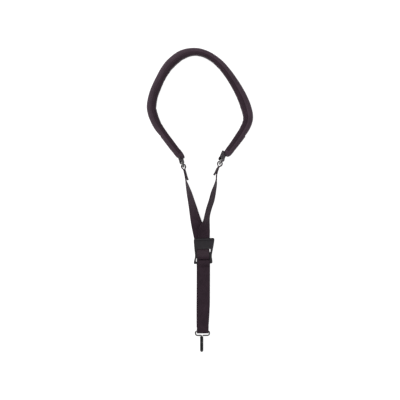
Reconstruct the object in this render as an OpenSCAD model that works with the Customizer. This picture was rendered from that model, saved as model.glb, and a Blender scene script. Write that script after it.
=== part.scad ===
// Neck strap for a saxophone, laid out flat: the padded neck band stands on its long edge,
// two webbing strands run from its ends to a junction, and a doubled strap carries the hook.
// Origin: bottom centre of the whole strap. +Y runs towards the nape, +Z up from the table.

/* [Webbing] */
// Width of every webbing strap
web_w = 19; // [18:0.5:19.5]
// Thickness of one ply of webbing
web_t = 1.3; // [1.1:0.05:1.35]

/* [Neck pad] */
// Height of the pad at the nape
pad_h = 50; // [40:1:60]
// Height of the pad near its ends
pad_end_h = 27; // [26:1:34]
// Thickness of the outer cover and of the lining
cover_t = 1.2; // [0.8:0.1:1.6]
// Thickness of the pad's load-bearing core webbing
core_t = 1.4; // [1:0.1:1.6]

/* [Rings] */
// Wire radius of the two pad rings
ring_wire_r = 0.95; // [0.85:0.05:1.1]
// Clear length between a pad ring's short sides
ring_inner = 21; // [20.6:0.1:22]
// Distance between the centres of a pad ring's two long bars
ring_gap = 8.5; // [8.4:0.1:9]

/* [Slider] */
// Length of the slider along the strap
slider_len = 41; // [40.5:0.5:42]
// Thickness of the slider's frame
slider_t = 2.2; // [1.8:0.1:2.4]
// Width of the slider's two slots
slot_w = 23; // [22.5:0.5:24]

/* [Hook] */
// Radius of the hook's wire
hook_wire_r = 1; // [0.9:0.05:1.05]
// Outer radius of the vinyl sleeve
sleeve_r = 2.4; // [2:0.1:2.6]
// Radius of the hook's bend, to the wire's centre
hook_bend_r = 6.5; // [6:0.25:7]

/* [Hidden] */
$fn = 40;
eps = 0.02;
up = [0, 0, 1];

// Centre line of the neck pad from its left end to its right end: x, y, thickness
PAD_ROUTE = [[-33.5, 73.5, 11.4], [-45, 88, 11.7], [-58, 105.5, 11.6], [-68, 120, 12.8],
             [-75.5, 138, 13.6], [-77, 153, 13.8], [-72, 174, 14], [-61, 197.5, 13.3],
             [-47, 217.5, 14], [-29, 231.5, 13.2], [-9, 236.5, 11], [12, 231.5, 10.3],
             [33, 216, 11.4], [51.5, 192, 12.8], [66, 166.5, 14.4], [74, 146, 15.2],
             [76.5, 129, 14.4], [70, 112, 13.4], [57, 92.5, 12.8], [45.8, 77.5, 12]];
pad_steps = 3;      // stations between two points of the route
arc_steps = 4;      // facets in each rounded edge of the pad
end_len = 9;        // length of each end patch of the pad
end_steps = 6;
end_taper = 0.93;   // how far the end patch closes, 1 being to a point

// The two sides below the pad: lower bar of the ring, heading of the ring and its tab, heading
// of the strand's fold, lean of both from upright with the top edge inwards, 1 where inwards is
// +X, reach of the tab up from the lower bar, reach of the fold down, and the loops' half widths.
// A heading is the turn from -Y towards +X.
LEFT = [[-26.1, 53.2, 13], 21, 13.5, -3, 1, 18, 22, 2.35, 2.9];
RIGHT = [[31.5, 57.8, 13], -23, -23.5, 3, -1, 20, 20, 2.8, 3.9];
ring_bend_r = 2;    // bend radius of a pad ring's corners, to the wire's centre

// Centre line of each strand below its fold: x, y, lean from upright, height above the table
STRAND_LEFT = [[-24.6, 42, -1, 3.3], [-23.6, 36.5, 1, 2.8], [-22.4, 31, 4, 2],
               [-20.8, 25, 11, 1.2], [-17.4, 12.5, 24, 0.4], [-14.1, -0.5, 33, 0],
               [-11.1, -13, 43, 0], [-8.2, -26, 56, 0], [-5, -38.5, 74, 0], [-3.4, -45, 86, 0],
               [-2, -51.5, 90, 0], [-0.6, -58, 90, 0], [1.7, -68, 90, 0], [3.2, -75, 90, 0]];
STRAND_RIGHT = [[27.9, 46.5, 3, 3.5], [26.4, 40, 3, 3], [26.1, 33, 4, 2.2], [24.8, 25, 12, 1.2],
                [21.5, 12.5, 23, 0.5], [18.5, -0.5, 27, 0.1], [14.4, -13, 26, 0.1],
                [11.7, -24, 26, 0.6], [10.4, -32.5, 32, 1.5], [9, -39, 46, 2],
                [7.5, -45, 63, 2.6], [6.6, -52, 80, 2.8], [6.3, -58, 90, 2.8],
                [5.8, -68, 90, 2.8], [5.2, -75, 90, 2.8]];

// The doubled strap below the junction runs along -Y, its front ply a little askew
back_x = 4.4;
fold_x = 4.3;
FRONT_RUN = [[5.6, -77.5], [6.7, -93], [6.6, -130], [6.4, -166], [5.5, -185], [4.5, -199]];
ply_pitch = web_t + 0.1;
drop_top = -63;
drop_end = -203;
tail_top = -185;

// Hook ring: a rounded rectangle of wire whose top bar lies in the strap's fold
hook_x = 3.9;
hook_bar_y = -209.4;
hook_z = 2.75;
hook_ring_w = 22.4;
hook_ring_l = 6.7;
hook_corner_r = 2.2;
hook_low_r = 3.2;   // bend radius of the ring's two lower corners
fold_r = hook_z - web_t / 2;
shank_x = 2.7;
shank_bend_r = 1.8;
shank_end_y = -233.3;
tip_len = 7;
tip_flare = atan(7 / 24);  // the free end opens by this angle

// Slider
slider_c = [5.8, -81];
slider_turn = -2.5;
hump_x = 4.4;       // centre of the webbing inside the slider, at its top end
hump_skew = 0.08;   // how far it runs towards +X per mm down the strap
slider_z = 4.5;

// --- functions ---------------------------------------------------------------------------

function unit(v) = v / norm(v);
function catmull(a, b, c, d, t) =
    0.5 * (2 * b + (c - a) * t + (2 * a - 5 * b + 4 * c - d) * t * t
           + (3 * b - a - 3 * c + d) * t * t * t);
function spline(p, n) =
    let (last = len(p) - 1)
    [for (i = [0 : last - 1]) for (j = [0 : n - 1])
        catmull(p[max(i - 1, 0)], p[i], p[i + 1], p[min(i + 2, last)], j / n), p[last]];
function tangent(p, i) = unit(p[min(i + 1, len(p) - 1)] - p[max(i - 1, 0)]);
function flat(p) = [p[0], p[1], 0];

// Rounded half outline of the pad's section from its bottom seam to its top seam, at inset c
function half_outline(t, h, c, side) =
    let (r = 0.46 * t, k = r - c)
    concat([[0, c]],
           [for (i = [0 : arc_steps]) let (a = -90 + 90 * i / arc_steps)
               [side * (t / 2 - r + k * cos(a)), r + k * sin(a)]],
           [for (i = [0 : arc_steps]) let (a = 90 * i / arc_steps)
               [side * (t / 2 - r + k * cos(a)), h - r + k * sin(a)]],
           [[0, h - c]]);
function reversed(p) = [for (i = [len(p) - 1 : -1 : 0]) p[i]];
function cover_outline(t, h, side) =
    let (ring = concat(half_outline(t, h, 0, side), reversed(half_outline(t, h, cover_t, side))))
    side > 0 ? ring : reversed(ring);
function foam_outline(t, h, side) =
    let (m = h / 2, w = core_height(h) / 2, d = side * core_t / 2,
         ring = concat(half_outline(t, h, cover_t, side),
                       [[0, m + w], [d, m + w], [d, m - w], [0, m - w]]))
    side > 0 ? ring : reversed(ring);
function core_outline(t, h) =
    let (m = h / 2, w = core_height(h) / 2, d = core_t / 2)
    [[-d, m - w], [d, m - w], [d, m + w], [-d, m + w]];
function full_outline(t, h) =
    concat(half_outline(t, h, 0, 1), reversed(half_outline(t, h, 0, -1)));
function core_height(h) = min(web_w, h - 2 * cover_t - 2);

// Pad stations: place on the table, outward direction, thickness, height
pad_line = spline(PAD_ROUTE, pad_steps);
function pad_height(f) = pad_end_h + (pad_h - pad_end_h) * pow(sin(180 * f), 0.9);
function pad_frames() =
    [for (i = [0 : len(pad_line) - 1])
        [flat(pad_line[i]), cross(up, tangent([for (p = pad_line) flat(p)], i)),
         pad_line[i][2], pad_height(i / (len(pad_line) - 1))]];

// Corners of a ply of webbing at p that is as wide as web_w along w and moves along dir
function ply_outline() =
    [[-web_w / 2, -web_t / 2], [web_w / 2, -web_t / 2],
     [web_w / 2, web_t / 2], [-web_w / 2, web_t / 2]];
function ply(p, w, dir) = [p, w, unit(cross(dir, w)), ply_outline()];

// Directions at a side: along the strap towards the junction, into the neck loop, across the
// webbing and out of its face
function ahead(angle) = [sin(angle), -cos(angle), 0];
function inwards(side, angle) = side[4] * [cos(angle), sin(angle), 0];
function lean_w(side, angle) = cos(side[3]) * up + sin(side[3]) * inwards(side, angle);
function lean_n(side, angle) = cos(side[3]) * inwards(side, angle) - sin(side[3]) * up;
// A point at a side: a up the strap from the ring's lower bar, b inwards
function at_ring(side, angle, a, b) = side[0] - a * ahead(angle) + b * lean_n(side, angle);
function strand_w(side, lean, dir) =
    let (d = unit(flat(dir)))
    cos(lean) * up + sin(lean) * side[4] * cross(up, d);
function strand_z(lean, lift) =
    web_w / 2 * abs(cos(lean)) + web_t / 2 * abs(sin(lean)) + lift;

// The fold over the ring's lower bar, from the folded end to where the strand starts, as
// distances up the strap and shares of the loop's half width
function fold_line(side) =
    [[-side[6], 1.6], [-16, 0.85], [-10, 0.72], [-5.8, 0.8], [-3, 0.6 * side[8]],
     [-0.4, 0.97 * side[8]], [2.1, 0.93 * side[8]], [3.7, 0.5 * side[8]], [4.1, 0],
     [3.7, -0.5 * side[8]], [2.1, -0.93 * side[8]], [-0.4, -0.97 * side[8]],
     [-3, -0.6 * side[8]], [-5.8, -0.8]];
// Half of the tab's loop under the ring's upper bar, from the pad downwards
function tab_line(side) = [[side[5], -0.72], [ring_gap + 4.2, -0.72], [ring_gap + 2.4, -1.3]];

// --- modules -----------------------------------------------------------------------------

// A solid through stations of place, first axis, second axis and outline
module sweep(stations) {
    n = len(stations[0][3]);
    m = len(stations);
    points = [for (s = stations) for (q = s[3]) s[0] + q[0] * s[1] + q[1] * s[2]];
    sides = [for (j = [0 : m - 2]) for (i = [0 : n - 1])
        let (a = j * n + i, b = j * n + (i + 1) % n) each [[a, a + n, b + n], [a, b + n, b]]];
    ends = [[for (i = [0 : n - 1]) i], [for (i = [n - 1 : -1 : 0]) (m - 1) * n + i]];
    polyhedron(points, concat(ends, sides), convexity = 10);
}

module pad_layer(kind) {
    sweep([for (f = pad_frames()) [f[0], f[1], up,
        kind == "core" ? core_outline(f[2], f[3])
        : kind == "cover" ? cover_outline(f[2], f[3], 1)
        : kind == "lining" ? cover_outline(f[2], f[3], -1)
        : foam_outline(f[2], f[3], kind == "foam_outer" ? 1 : -1)]]);
}

// Rounded patch that closes the pad from its last station outwards
module pad_end(last, before) {
    frame = pad_frames()[last];
    line = unit(frame[0] - pad_frames()[before][0]);
    sweep([for (i = [0 : end_steps])
        let (s = i / end_steps, k = sqrt(1 - end_taper * s * s))
        [frame[0] + (end_len * s + eps) * line, cross(up, line), up,
         full_outline(frame[2] * k, frame[3] * (0.45 + 0.55 * k))]]);
}

// Wire bar between two points
module bar(a, b, r) {
    v = b - a;
    translate(a) rotate([0, acos(v[2] / norm(v)), atan2(v[1], v[0])])
        cylinder(h = norm(v), r = r);
}

// Closed wire ring in the XY plane, w along X and l along Y between wire centres
module wire_ring(w, l, corner, r) {
    for (sx = [-1, 1]) {
        translate([sx * w / 2, -(l / 2 - corner), 0]) rotate([-90, 0, 0])
            cylinder(h = l - 2 * corner, r = r);
        translate([-(w / 2 - corner), sx * l / 2, 0]) rotate([0, 90, 0])
            cylinder(h = w - 2 * corner, r = r);
        for (sy = [-1, 1])
            translate([sx * (w / 2 - corner), sy * (l / 2 - corner), 0])
                rotate([0, 0, sx > 0 ? (sy > 0 ? 0 : -90) : (sy > 0 ? 90 : 180)])
                    rotate_extrude(angle = 90) translate([corner, 0]) circle(r = r);
    }
}

// Places a child with X across a side's webbing, Y up the strap and Z out of its face
module on_side(side, angle, a, b) {
    w = lean_w(side, angle);
    d = -ahead(angle);
    n = cross(w, d);
    c = at_ring(side, angle, a, b);
    multmatrix([[w[0], d[0], n[0], c[0]], [w[1], d[1], n[1], c[1]], [w[2], d[2], n[2], c[2]],
                [0, 0, 0, 1]])
        children();
}

module pad_ring(side) {
    on_side(side, side[1], ring_gap / 2, 0)
        wire_ring(ring_inner + 2 * ring_wire_r, ring_gap, ring_bend_r, ring_wire_r);
}

module ring_tab(side) {
    down = spline(tab_line(side), 3);
    r = side[7];
    loop = [for (a = [-110 : 20 : 110]) [ring_gap - r * cos(a), r * sin(a)]];
    up_again = reversed([for (x = down) [x[0], -x[1]]]);
    line = [for (x = concat(down, loop, up_again)) at_ring(side, side[1], x[0], x[1])];
    w = lean_w(side, side[1]);
    sweep([for (i = [0 : len(line) - 1]) ply(line[i], w, tangent(line, i))]);
}

// Strand: the folded end, the loop over the ring's lower bar, and the twisting run
module strand(side, route) {
    fold = [for (x = spline(fold_line(side), 3)) at_ring(side, side[2], x[0], x[1])];
    run = spline(route, 4);
    run_line = [for (p = run) [p[0], p[1], strand_z(min(p[2], 90), p[3])]];
    all = concat(fold, run_line);
    nf = len(fold);
    sweep([for (i = [0 : len(all) - 1])
        ply(all[i], i < nf ? lean_w(side, side[2])
                           : strand_w(side, min(run[i - nf][2], 90), tangent(run_line, i - nf)),
            tangent(all, i))]);
}

// Flat block of thread, len along the strap
module thread_patch(side, angle, a, b, len, wide) {
    on_side(side, angle, a, b) translate([-wide / 2, -len / 2, -0.15]) cube([wide, len, 0.3]);
}

// Webbing that lies flat, through points x, y, z
module strap_ribbon(line) {
    sweep([for (i = [0 : len(line) - 1]) ply(line[i], [1, 0, 0], tangent(line, i))]);
}

module pad_outer_cover() {
    color("#3f363d") pad_layer("cover");
}

module pad_foam_outer() {
    color("#55555a") pad_layer("foam_outer");
}

module pad_core_webbing() {
    color("#2c2a2d") pad_layer("core");
}

module pad_foam_inner() {
    color("#55555a") pad_layer("foam_inner");
}

module pad_lining() {
    color("#332c32") pad_layer("lining");
}

module pad_end_left() {
    color("#3a3238") pad_end(0, 1);
}

module pad_end_right() {
    last = len(pad_line) - 1;
    color("#3a3238") pad_end(last, last - 1);
}

module ring_tab_left() {
    color("#4a474b") ring_tab(LEFT);
}

module ring_tab_right() {
    color("#4a474b") ring_tab(RIGHT);
}

module tab_stitching_left() {
    color("#1c1b1d") thread_patch(LEFT, LEFT[1], ring_gap + 4.7, -1.6, 1.2, 15);
}

module tab_stitching_right() {
    color("#1c1b1d") thread_patch(RIGHT, RIGHT[1], ring_gap + 4.7, -1.6, 1.2, 15);
}

module ring_left() {
    color("#c9c9cc") pad_ring(LEFT);
}

module ring_right() {
    color("#c9c9cc") pad_ring(RIGHT);
}

module strand_left() {
    color("#40383e") strand(LEFT, STRAND_LEFT);
}

module strand_right() {
    color("#40383e") strand(RIGHT, STRAND_RIGHT);
}

module fold_stitching_left() {
    color("#1c1b1d") thread_patch(LEFT, LEFT[2], -13, 1.68, 5, 14);
}

module fold_stitching_right() {
    color("#1c1b1d") thread_patch(RIGHT, RIGHT[2], -13, 1.68, 5, 14);
}

// Bar tacks across the strands' ends, on the front of the junction
module junction_stitching() {
    color("#1c1b1d") for (y = [-73.5, -67.5])
        translate([back_x - 6.5, y, 2 * ply_pitch + web_t + eps]) cube([15, 1.4, 0.3]);
}

// Back ply, from the junction down to the hook ring's fold
module drop_strap() {
    z = ply_pitch + web_t / 2;
    color("#3d353b") strap_ribbon([for (y = [drop_top, (drop_top + drop_end) / 2, drop_end])
        [back_x, y, z]]);
}

// Front ply, the fold round the hook ring's bar and the short tail behind
module hook_strap() {
    front_z = 2 * ply_pitch + web_t / 2;
    fold = [for (a = [90 : -15 : -90])
        [fold_x, hook_bar_y - fold_r * cos(a), hook_z + fold_r * sin(a)]];
    color("#3d353b") strap_ribbon(concat(
        [for (p = FRONT_RUN) [p[0], p[1], front_z]],
        [[fold_x + 0.1, -203, front_z + 0.3], [fold_x, -206.5, front_z + 1]], fold,
        [[fold_x, -203, web_t / 2], [fold_x, tail_top, web_t / 2]]));
}

// Outline of the slider's right side from the bottom corner to the top corner
SLIDER_SIDE = [[13.4, -21], [14.6, -20.2], [14.9, -18.6], [14.3, -14], [13.6, -10.5],
               [13.5, -7], [14, -3], [15, 4], [15.9, 11], [16.5, 17], [16.4, 19.2],
               [15.4, 20.6], [13.8, 21]];

module slider() {
    half = spline(SLIDER_SIDE, 3);
    outline = concat(half, reversed([for (p = half) [-p[0], p[1]]]));
    k = slider_len / 42;
    color("#333437") translate([slider_c[0], slider_c[1], slider_z]) rotate([0, 0, slider_turn])
        difference() {
            union() {
                linear_extrude(slider_t) scale([1, k]) polygon(outline);
                // raised thumb edge along the top
                translate([-12.5, 17.2 * k, slider_t]) cube([25, 2.4, 0.9]);
            }
            // upper and lower slots
            translate([-slot_w / 2, -2.2 * k, -1]) cube([slot_w, 6 * k, slider_t + 2]);
            translate([-slot_w / 2, -17.4 * k, -1]) cube([slot_w, 5.6 * k, slider_t + 2]);
        }
}

// The webbing inside the slider: over its bottom bar, down into the lower slot and over its
// middle bar
HUMP = [[-105.6, 4.85], [-104.7, 5], [-103.6, 5.75], [-102.9, 6.8], [-101.9, 7.6],
        [-99.8, 8], [-98.1, 8], [-96.8, 7.35], [-96.4, 6.1], [-96, 5.2], [-95.2, 4.95],
        [-94.4, 5.3], [-93.9, 6.2], [-93.5, 7.3], [-92.2, 7.9], [-90.2, 8.3], [-88.2, 8.8],
        [-86, 9], [-84, 8.7], [-82.3, 7.9], [-81.5, 6.6], [-81.1, 5.6], [-80, 4.95],
        [-78.4, 4.85]];
module slider_webbing() {
    color("#40383e") strap_ribbon([for (p = spline(HUMP, 2))
        [hump_x + hump_skew * (HUMP[len(HUMP) - 1][0] - p[0]), p[0], p[1]]]);
}

module hook_wire() {
    bottom_y = hook_bar_y - hook_ring_l;
    w = hook_ring_w;
    r = hook_corner_r;
    low = hook_low_r;
    bend_x = shank_x - shank_bend_r;
    left = hook_x - w / 2;
    right = hook_x + w / 2;
    z = hook_z;
    color("#b9bbbd") {
        bar([left + r, hook_bar_y, z], [right - r, hook_bar_y, z], hook_wire_r);
        bar([left, hook_bar_y - r, z], [left, bottom_y + low, z], hook_wire_r);
        bar([right, hook_bar_y - r, z], [right, bottom_y + low, z], hook_wire_r);
        for (c = [[left + r, hook_bar_y - r, 90, r], [right - r, hook_bar_y - r, 0, r],
                  [left + low, bottom_y + low, 180, low],
                  [right - low, bottom_y + low, -90, low]])
            translate([c[0], c[1], z]) rotate([0, 0, c[2]])
                rotate_extrude(angle = 90) translate([c[3], 0]) circle(r = hook_wire_r);
        bar([left + low, bottom_y, z], [bend_x, bottom_y, z], hook_wire_r);
        bar([right - low, bottom_y, z], [shank_x + hook_wire_r * 0.6, bottom_y, z], hook_wire_r);
        translate([bend_x, bottom_y - shank_bend_r, z])
            rotate_extrude(angle = 90) translate([shank_bend_r, 0]) circle(r = hook_wire_r);
        bar([shank_x, bottom_y - shank_bend_r, z], [shank_x, shank_end_y, z], hook_wire_r);
        hook_bend(0, hook_wire_r);
        at_tip() cylinder(h = tip_len, r = hook_wire_r);
    }
}

// Turn of the hook, a rod or a tube when inner is over 0, cut off where the free end starts
module hook_bend(inner, outer) {
    reach = outer + 1;
    difference() {
        translate([shank_x, shank_end_y, hook_z + hook_bend_r]) rotate([0, -90, 0])
            rotate([0, 0, 180]) rotate_extrude(angle = 180) translate([hook_bend_r, 0])
                difference() {
                    circle(r = outer);
                    if (inner > 0) circle(r = inner);
                }
        at_tip() translate([-reach, -reach, 0]) cube([2 * reach, 2 * reach, reach]);
    }
}

// Places a child at the end of the hook's turn, its Z along the free end
module at_tip() {
    translate([shank_x, shank_end_y - hook_bend_r * sin(tip_flare),
               hook_z + hook_bend_r * (1 + cos(tip_flare))])
        rotate([tip_flare - 90, 0, 0]) children();
}

// Vinyl sleeve over the hook, with a rounded closed tip
module hook_sleeve() {
    inner = hook_wire_r + eps;
    start_y = hook_bar_y - hook_ring_l - shank_bend_r - 0.6;
    color("#26272a") {
        translate([shank_x, start_y, hook_z]) rotate([90, 0, 0]) difference() {
            cylinder(h = start_y - shank_end_y, r = sleeve_r);
            translate([0, 0, -1]) cylinder(h = start_y - shank_end_y + 2, r = inner);
        }
        hook_bend(inner, sleeve_r);
        at_tip() difference() {
            union() {
                cylinder(h = tip_len, r = sleeve_r);
                translate([0, 0, tip_len]) sphere(r = sleeve_r);
            }
            translate([0, 0, -1]) cylinder(h = tip_len + 1 + eps, r = inner);
        }
    }
}

pad_outer_cover();
pad_foam_outer();
pad_core_webbing();
pad_foam_inner();
pad_lining();
pad_end_left();
pad_end_right();
ring_tab_left();
ring_tab_right();
tab_stitching_left();
tab_stitching_right();
ring_left();
ring_right();
strand_left();
strand_right();
fold_stitching_left();
fold_stitching_right();
junction_stitching();
drop_strap();
hook_strap();
slider();
slider_webbing();
hook_wire();
hook_sleeve();
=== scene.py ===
"""Looks of a saxophone neck strap that lies on a table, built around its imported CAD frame.

Lengths in the tables below are millimetres in the frame of the part; mesh code works in metres.
"""
import math

import bpy
import numpy as np
from mathutils import Matrix, Vector, noise


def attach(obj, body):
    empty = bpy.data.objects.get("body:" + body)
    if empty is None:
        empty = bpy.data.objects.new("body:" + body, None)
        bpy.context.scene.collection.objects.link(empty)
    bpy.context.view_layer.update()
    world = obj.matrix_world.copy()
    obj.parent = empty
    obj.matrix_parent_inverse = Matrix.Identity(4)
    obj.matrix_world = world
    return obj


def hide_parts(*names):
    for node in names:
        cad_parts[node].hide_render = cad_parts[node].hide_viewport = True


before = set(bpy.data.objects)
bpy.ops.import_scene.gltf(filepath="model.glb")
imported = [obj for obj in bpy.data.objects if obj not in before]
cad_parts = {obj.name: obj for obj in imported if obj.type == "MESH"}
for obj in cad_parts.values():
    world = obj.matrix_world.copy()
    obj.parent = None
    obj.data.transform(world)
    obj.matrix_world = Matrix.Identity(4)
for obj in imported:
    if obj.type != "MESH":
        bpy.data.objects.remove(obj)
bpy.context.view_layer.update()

MM = 0.001
UP = np.array([0.0, 0.0, 1.0])

# --- dimensions, as in the part's own source ----------------------------------------------

WEB_W = 19.0
WEB_T = 1.3
WEB_POINTS = 16            # points across each face of the webbing
PLY_PITCH = WEB_T + 0.1
PAD_H, PAD_END_H = 50.0, 27.0
PAD_ROUTE = [(-33.5, 73.5, 11.4), (-45, 88, 11.7), (-58, 105.5, 11.6), (-68, 120, 12.8),
             (-75.5, 138, 13.6), (-77, 153, 13.8), (-72, 174, 14), (-61, 197.5, 13.3),
             (-47, 217.5, 14), (-29, 231.5, 13.2), (-9, 236.5, 11), (12, 231.5, 10.3),
             (33, 216, 11.4), (51.5, 192, 12.8), (66, 166.5, 14.4), (74, 146, 15.2),
             (76.5, 129, 14.4), (70, 112, 13.4), (57, 92.5, 12.8), (45.8, 77.5, 12)]
END_LEN, END_TAPER = 9.0, 0.93
END_PROUD, END_LOW = 0.42, 0.42   # how far its end patches stand proud; their height at the tip
END_HEM = [(-5.0, 0.1), (-5.0, 0.45), (-4.6, 0.62), (-3.6, 0.6), (-1.5, 0.5), (0.0, END_PROUD)]
END_DRIFT = 1.2            # how far the end patches wander towards +X

# Each side below the pad: centre of the ring's lower bar; headings of the ring, its tab and the
# strand's fold, as a turn from -Y towards +X; sign of X into the neck loop; lean from upright
# with the top edge inwards, and of the tab's webbing at the ring and at the pad; reach of the
# tab up and of the fold down; half widths of the tab's and the fold's loops; how far the tab
# sits inwards of the ring's middle
LEFT = dict(bar=(-26.1, 53.2, 13), ring=21, tab=15, fold=13.5, sign=1, lean=-3,
            tab_lean=(-10, -18), tab_reach=20.5, fold_reach=22, tab_r=1.8, fold_half=3.1,
            tab_shift=0.1)
RIGHT = dict(bar=(31.5, 57.8, 13), ring=-23, tab=-23, fold=-23.5, sign=-1, lean=3,
             tab_lean=(15, 22), tab_reach=22, fold_reach=20, tab_r=2.2, fold_half=3.6,
             tab_shift=0.5)
RING_GAP, RING_INNER, RING_WIRE_R, RING_BEND_R = 8.5, 21.0, 0.95, 2.0

# Strand below its fold: x, y, lean from upright, height above the table
STRAND_LEFT = [(-24.6, 42, -1, 3.3), (-23.6, 36.5, 1, 2.8), (-22.4, 31, 4, 2),
               (-20.8, 25, 11, 1.2), (-17.4, 12.5, 24, 0.4), (-14.1, -0.5, 33, 0),
               (-11.1, -13, 43, 0), (-8.2, -26, 56, 0), (-5, -38.5, 74, 0), (-3.4, -45, 86, 0),
               (-2, -51.5, 90, 0), (-0.6, -58, 90, 0), (1.7, -68, 90, 0), (3.2, -75, 90, 0)]
STRAND_RIGHT = [(27.9, 46.5, 3, 3.5), (26.4, 40, 3, 3), (26.1, 33, 4, 2.2), (24.8, 25, 12, 1.2),
                (21.5, 12.5, 23, 0.5), (18.5, -0.5, 27, 0.1), (14.4, -13, 26, 0.1),
                (11.7, -24, 26, 0.6), (10.4, -32.5, 32, 1.5), (9, -39, 46, 2),
                (7.5, -45, 63, 2.6), (6.6, -52, 80, 2.8), (6.3, -58, 90, 2.8),
                (5.8, -68, 90, 2.8), (5.2, -75, 90, 2.8)]

# Drop strap, hook and slider
BACK_X, FOLD_X, HUMP_X, HUMP_SKEW = 4.2, 4.3, 4.4, 0.08
FRONT_RUN = [(5.6, -77.5), (6.7, -93), (6.6, -130), (6.4, -166), (5.5, -185), (4.5, -199)]
DROP_TOP, DROP_END, TAIL_TOP = -63, -203, -185
HOOK_X, HOOK_BAR_Y, HOOK_Z = 3.9, -209.4, 2.75
HOOK_RING_W, HOOK_RING_L, HOOK_CORNER_R, HOOK_LOW_R, HOOK_WIRE_R = 22.4, 6.7, 2.2, 3.2, 1.08
SHANK_X, SHANK_BEND_R, SHANK_END_Y, HOOK_BEND_R, TIP_LEN = 2.7, 1.8, -233.3, 6.5, 7.0
TIP_FLARE = math.atan2(7, 24)
SLEEVE_R = 2.65
SLIDER_C, SLIDER_TURN, SLIDER_Z, SLIDER_T, SLIDER_LEN = (5.8, -81.0), -2.5, 4.5, 2.2, 41.0
SLIDER_SHEAR = 4.5         # the moulding's slant, in degrees

# --- camera, light and floor ---------------------------------------------------------------

VIEW_CENTRE = (0.0, 0.45)  # point of the table at the middle of the picture
VIEW_WIDTH = 640.0         # width of table that the picture spans
CAMERA_HEIGHT = 6000.0
FLOOR_GLOW = 0.92
SKY = 0.55


def make_camera():
    data = bpy.data.cameras.new("camera")
    data.sensor_width = 36.0
    data.lens = data.sensor_width * CAMERA_HEIGHT / VIEW_WIDTH
    data.clip_start, data.clip_end = 0.05, 20.0
    cam = bpy.data.objects.new("camera", data)
    cam.location = (VIEW_CENTRE[0] * MM, VIEW_CENTRE[1] * MM, CAMERA_HEIGHT * MM)
    bpy.context.collection.objects.link(cam)
    bpy.context.scene.camera = cam


def make_light(name, place, size, power, colour=(1, 1, 1)):
    data = bpy.data.lights.new(name, "AREA")
    data.shape = "DISK"
    data.size, data.energy, data.color = size, power, colour
    light = bpy.data.objects.new(name, data)
    light.location = place
    light.rotation_mode = "QUATERNION"
    light.rotation_quaternion = (-Vector(place)).to_track_quat("-Z", "Y")
    bpy.context.collection.objects.link(light)


def make_floor():
    """A white light table: it glows, so the strap throws no shadow that shows."""
    bpy.ops.mesh.primitive_plane_add(size=8, location=(0, 0, -0.0004))
    floor = bpy.context.object
    floor.name = "floor"
    mat = plain_material("floor", (0.35, 0.35, 0.35), 0.9)
    shader = mat.node_tree.nodes["Principled BSDF"]
    shader.inputs["Emission Color"].default_value = (1.0, 1.0, 1.0, 1.0)
    shader.inputs["Emission Strength"].default_value = FLOOR_GLOW
    floor.data.materials.append(mat)


def make_world():
    world = bpy.data.worlds.new("studio")
    world.use_nodes = True
    back = world.node_tree.nodes["Background"]
    back.inputs["Color"].default_value = (1.0, 1.0, 1.0, 1.0)
    back.inputs["Strength"].default_value = SKY
    bpy.context.scene.world = world
    bpy.context.scene.view_settings.view_transform = "Standard"


# --- materials -----------------------------------------------------------------------------

def plain_material(name, colour, roughness):
    mat = bpy.data.materials.new(name)
    mat.use_nodes = True
    shader = mat.node_tree.nodes["Principled BSDF"]
    shader.inputs["Base Color"].default_value = (*colour, 1)
    shader.inputs["Roughness"].default_value = roughness
    return mat


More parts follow.
